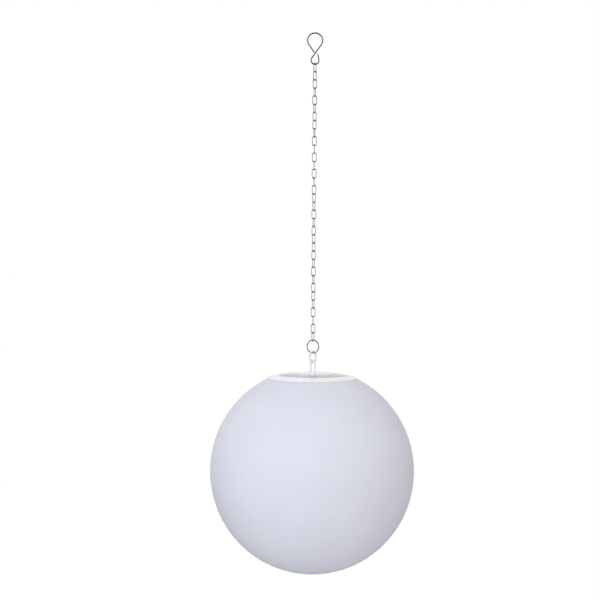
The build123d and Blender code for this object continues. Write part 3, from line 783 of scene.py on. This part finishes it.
nylon, tree, place = start_material("black_nylon")
fibre_mm = 0.5
fibres = add_node(
    tree, "ShaderNodeTexNoise", {"Vector": place, "Scale": grains_per_metre(fibre_mm), "Detail": 4}
)
gloss = add_node(
    tree, "ShaderNodeMapRange", {"Value": fibres.outputs["Fac"], "To Min": 0.34, "To Max": 0.56}
)
weave = add_node(
    tree, "ShaderNodeBump", {"Height": fibres.outputs["Fac"], "Strength": 0.2, "Distance": 0.00003}
)
button = add_node(
    tree,
    "ShaderNodeBsdfPrincipled",
    {"Base Color": linear("#1D1D1E"), "Roughness": gloss.outputs[0], "Normal": weave.outputs["Normal"]},
)
add_node(tree, "ShaderNodeOutputMaterial", {"Surface": button.outputs[0]})
dress(nylon, "switch_body", "switch_button")


# ---- floor ----
# White paper, laid over a metre below the globe so that its underside can be seen too. The camera sees
# it near white, with the globe's soft shadow on it, while it bounces light as white paper does.

floor_drop = 1.3
floor_half = 8.0
floor_z = cad_box[0].z - floor_drop
floor_mesh = bpy.data.meshes.new("floor")
corners = ((-1, -1), (1, -1), (1, 1), (-1, 1))
floor_mesh.from_pydata([(x * floor_half, y * floor_half, floor_z) for x, y in corners], [], [(0, 1, 2, 3)])
floor = bpy.data.objects.new("floor", floor_mesh)
bpy.context.scene.collection.objects.link(floor)


def add_backdrop_rays(tree):
    """1 where a ray comes from the camera, a mirror or a window, which all see the plain white backdrop."""
    path = add_node(tree, "ShaderNodeLightPath")
    rays = add_node(
        tree,
        "ShaderNodeMath",
        {0: path.outputs["Is Camera Ray"], 1: path.outputs["Is Glossy Ray"]},
        operation="MAXIMUM",
    )
    rays = add_node(
        tree,
        "ShaderNodeMath",
        {0: rays.outputs[0], 1: path.outputs["Is Transmission Ray"]},
        operation="MAXIMUM",
    )
    return rays.outputs[0]


paper, tree, place = start_material("white_paper")
bounce = add_node(tree, "ShaderNodeBsdfDiffuse", {"Color": linear("#EDEDED")})
shadowed = add_node(tree, "ShaderNodeBsdfDiffuse", {"Color": linear("#8A8A8A")})
paper_glow = 0.86
glow = add_node(tree, "ShaderNodeEmission", {"Color": linear("#FFFFFF"), "Strength": paper_glow})
lit = add_node(tree, "ShaderNodeAddShader", {0: shadowed.outputs[0], 1: glow.outputs[0]})
mixed = add_node(
    tree, "ShaderNodeMixShader", {0: add_backdrop_rays(tree), 1: bounce.outputs[0], 2: lit.outputs[0]}
)
add_node(tree, "ShaderNodeOutputMaterial", {"Surface": mixed.outputs[0]})
floor_mesh.materials.append(paper)


# ---- light ----
# A white tent: an even glow from all round, and four soft lamps, a strong one high on the left in front,
# a weak warm one on the right, one overhead and one low in front. Seen directly or in a reflection, the
# tent is plain white.

world = bpy.data.worlds.new("white_tent")
bpy.context.scene.world = world
world.use_nodes = True
tree = world.node_tree
tree.nodes.clear()
tent_glow = 0.6
tent = add_node(tree, "ShaderNodeBackground", {"Color": linear("#FBFAFF"), "Strength": tent_glow})
backdrop = add_node(tree, "ShaderNodeBackground", {"Color": linear("#FFFFFF"), "Strength": 1.0})
mixed = add_node(
    tree, "ShaderNodeMixShader", {0: add_backdrop_rays(tree), 1: tent.outputs[0], 2: backdrop.outputs[0]}
)
add_node(tree, "ShaderNodeOutputWorld", {"Surface": mixed.outputs[0]})

globe_centre = Vector((0, 0, globe_low.z + (globe_high.x - globe_low.x) / 2))


def stand(name, data, place, aim):
    """Stands a lamp or a card at a place, facing a point."""
    thing = bpy.data.objects.new(name, data)
    thing.location = place
    thing.rotation_euler = (Vector(aim) - Vector(place)).to_track_quat("-Z", "Y").to_euler()
    bpy.context.scene.collection.objects.link(thing)
    return thing


def stand_lamp(name, place, size, power, colour):
    """A square soft lamp that faces the globe."""
    lamp = bpy.data.lights.new(name, "AREA")
    lamp.shape = "SQUARE"
    lamp.size = size
    lamp.energy = power
    lamp.color = linear(colour)[:3]
    stand(name, lamp, place, globe_centre).visible_glossy = False


stand_lamp("key", place=(-1.0, -2.5, 0.65), size=1.6, power=32.0, colour="#F6F8FF")
stand_lamp("fill", place=(2.2, -1.8, -0.5), size=1.2, power=3.5, colour="#FFE9C0")
stand_lamp("overhead", place=(-0.2, -0.5, 1.3), size=1.4, power=4.0, colour="#FFFFFF")
stand_lamp("low", place=(0.1, -2.05, -1.8), size=1.2, power=5.4, colour="#F4F6FF")


# ---- black cards ----
# Three black cards in the tent: one above, one below, and a narrow one behind the camera. Only
# reflections show them, and they give the bright wire its dark streaks, most where it lies level.

black_card, tree, place = start_material("black_card")
black = add_node(tree, "ShaderNodeBsdfDiffuse", {"Color": linear("#202020")})
add_node(tree, "ShaderNodeOutputMaterial", {"Surface": black.outputs[0]})


def stand_card(name, place, aim, width, height):
    """A black card that only reflections see."""
    half_width, half_height = width / 2, height / 2
    mesh = bpy.data.meshes.new(name)
    mesh.from_pydata([(x * half_width, y * half_height, 0) for x, y in corners], [], [(0, 1, 2, 3)])
    mesh.materials.append(black_card)
    card = stand(name, mesh, place, aim)
    card.visible_camera = False
    card.visible_diffuse = False
    card.visible_shadow = False
    card.visible_transmission = False


stand_card("card_above", place=(0, -1.0, 0.9), aim=(0, -1.0, 0), width=5.0, height=4.0)
stand_card("card_below", place=(0, -1.0, -0.95), aim=(0, -1.0, 0), width=3.0, height=4.0)
stand_card("card_front", place=(0, -3.2, -0.3), aim=(0, 0, -0.3), width=2.2, height=6.0)


# ---- camera ----
# It stands level, a step and a half away, a little above the globe, and a touch off square, as the
# photograph was taken: the hanging line runs right of the middle and leans by less than half a degree.

camera_distance = 1.552
camera_height = -0.3938
camera_left = 0.0195
camera_roll = math.radians(-0.43)
lens_mm = 63.0
sensor_mm = 36.0
camera_data = bpy.data.cameras.new("camera")
camera_data.lens = lens_mm
camera_data.sensor_width = sensor_mm
camera = bpy.data.objects.new("camera", camera_data)
camera.location = (-camera_left, -camera_distance, camera_height)
camera.rotation_euler = (math.pi / 2, camera_roll, 0)
bpy.context.scene.collection.objects.link(camera)
bpy.context.scene.camera = camera
bpy.context.scene.view_settings.view_transform = "Standard"
